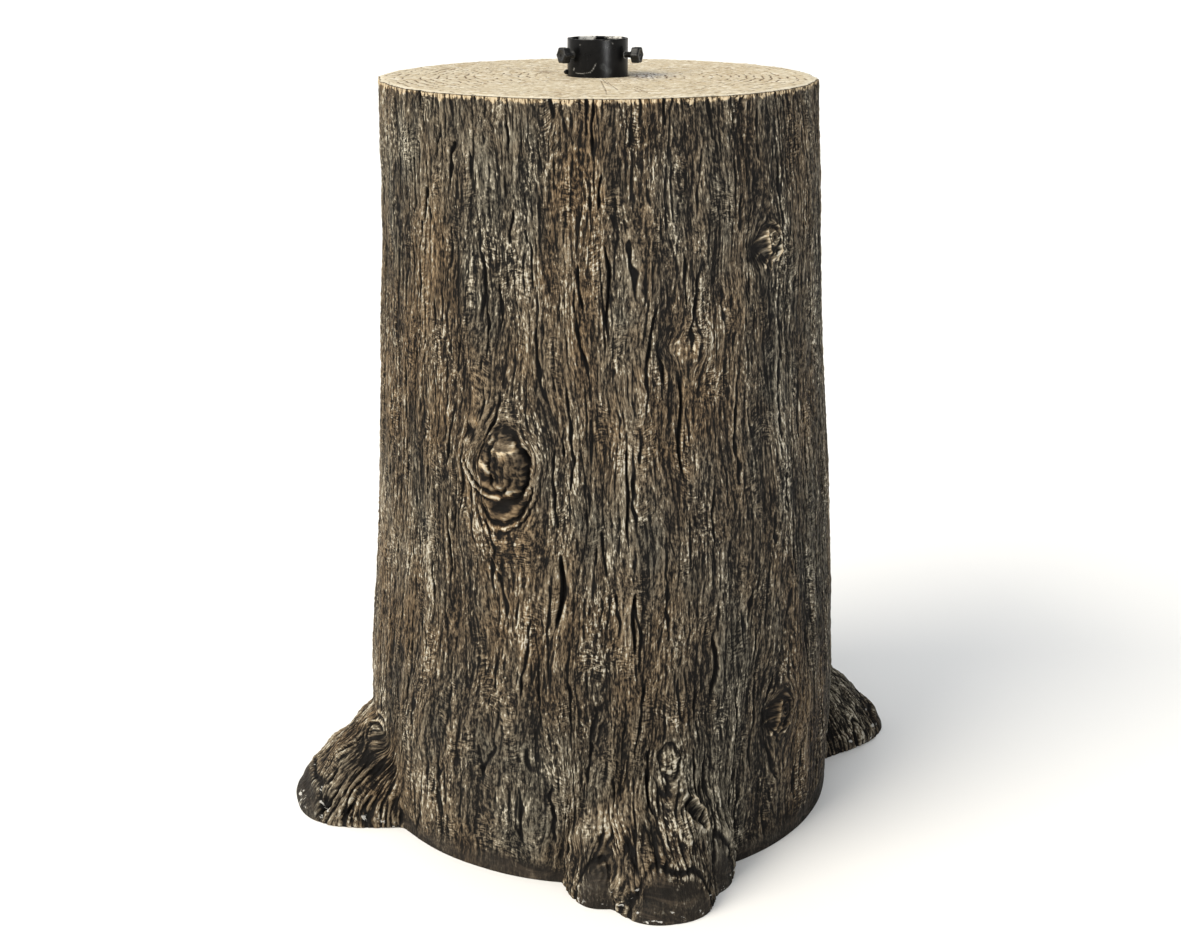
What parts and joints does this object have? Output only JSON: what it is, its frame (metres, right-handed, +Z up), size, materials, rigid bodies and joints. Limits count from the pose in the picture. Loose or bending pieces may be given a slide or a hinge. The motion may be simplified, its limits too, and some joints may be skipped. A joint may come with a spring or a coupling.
{
  "type": "tree stump umbrella base",
  "caption": "Hollow cast tree stump with bark, knots and spreading roots, standing as a parasol base and side table, with a steel pole socket and thumbscrews.",
  "frame": {"origin": "the axis of the pole socket at ground level, on the underside of the foot cross", "axes": "+Z up along the pole axis; -Y is the front, with the large knot and the widest root; +X is to the right seen from the front"},
  "size_m": [0.5685, 0.5503, 0.6775],
  "materials": {
    "cast_bark": "matt painted casting: dark brown bark with dry-brushed cream highlights, tan cut top",
    "black_paint": "semi-gloss black, worn at the rim",
    "zinc_steel": "zinc plated, dull",
    "black_steel": "blackened thread",
    "black_plastic": "moulded, satin"
  },
  "bodies": {
    "stump": {"stump_casting": "cast_bark", "pole_tube": "black_paint", "foot_cross": "zinc_steel", "foot_bolt_1": "zinc_steel", "foot_bolt_2": "zinc_steel", "foot_bolt_3": "zinc_steel", "foot_bolt_4": "zinc_steel"},
    "left_screw": {"left_stud": "black_steel"},
    "left_grip": {"left_knob": "black_plastic"},
    "right_screw": {"right_stud": "black_steel"},
    "right_grip": {"right_knob": "black_plastic"}
  },
  "joints": [
    {"name": "left_screw_slide", "type": "slide", "parent": "stump", "child": "left_screw", "axis": [-0.8192, -0.5736, 0], "range_m": [-0.0032, 0.0056]},
    {"name": "left_knob_turn", "type": "hinge", "parent": "left_screw", "child": "left_grip", "pos_m": [-0.02376, -0.01663, 0.6645], "axis": [-0.8192, -0.5736, 0], "range_deg": [-1450, 2530]},
    {"name": "right_screw_slide", "type": "slide", "parent": "stump", "child": "right_screw", "axis": [0.9063, -0.4226, 0], "range_m": [-0.0048, 0.004]},
    {"name": "right_knob_turn", "type": "hinge", "parent": "right_screw", "child": "right_grip", "pos_m": [0.02782, -0.01297, 0.6645], "axis": [0.9063, -0.4226, 0], "range_deg": [-2170, 1810]}
  ],
  "couplings": [
    {"joint": "left_knob_turn", "follows": "left_screw_slide", "rad_per_m": 7854},
    {"joint": "right_knob_turn", "follows": "right_screw_slide", "rad_per_m": 7854}
  ]
}
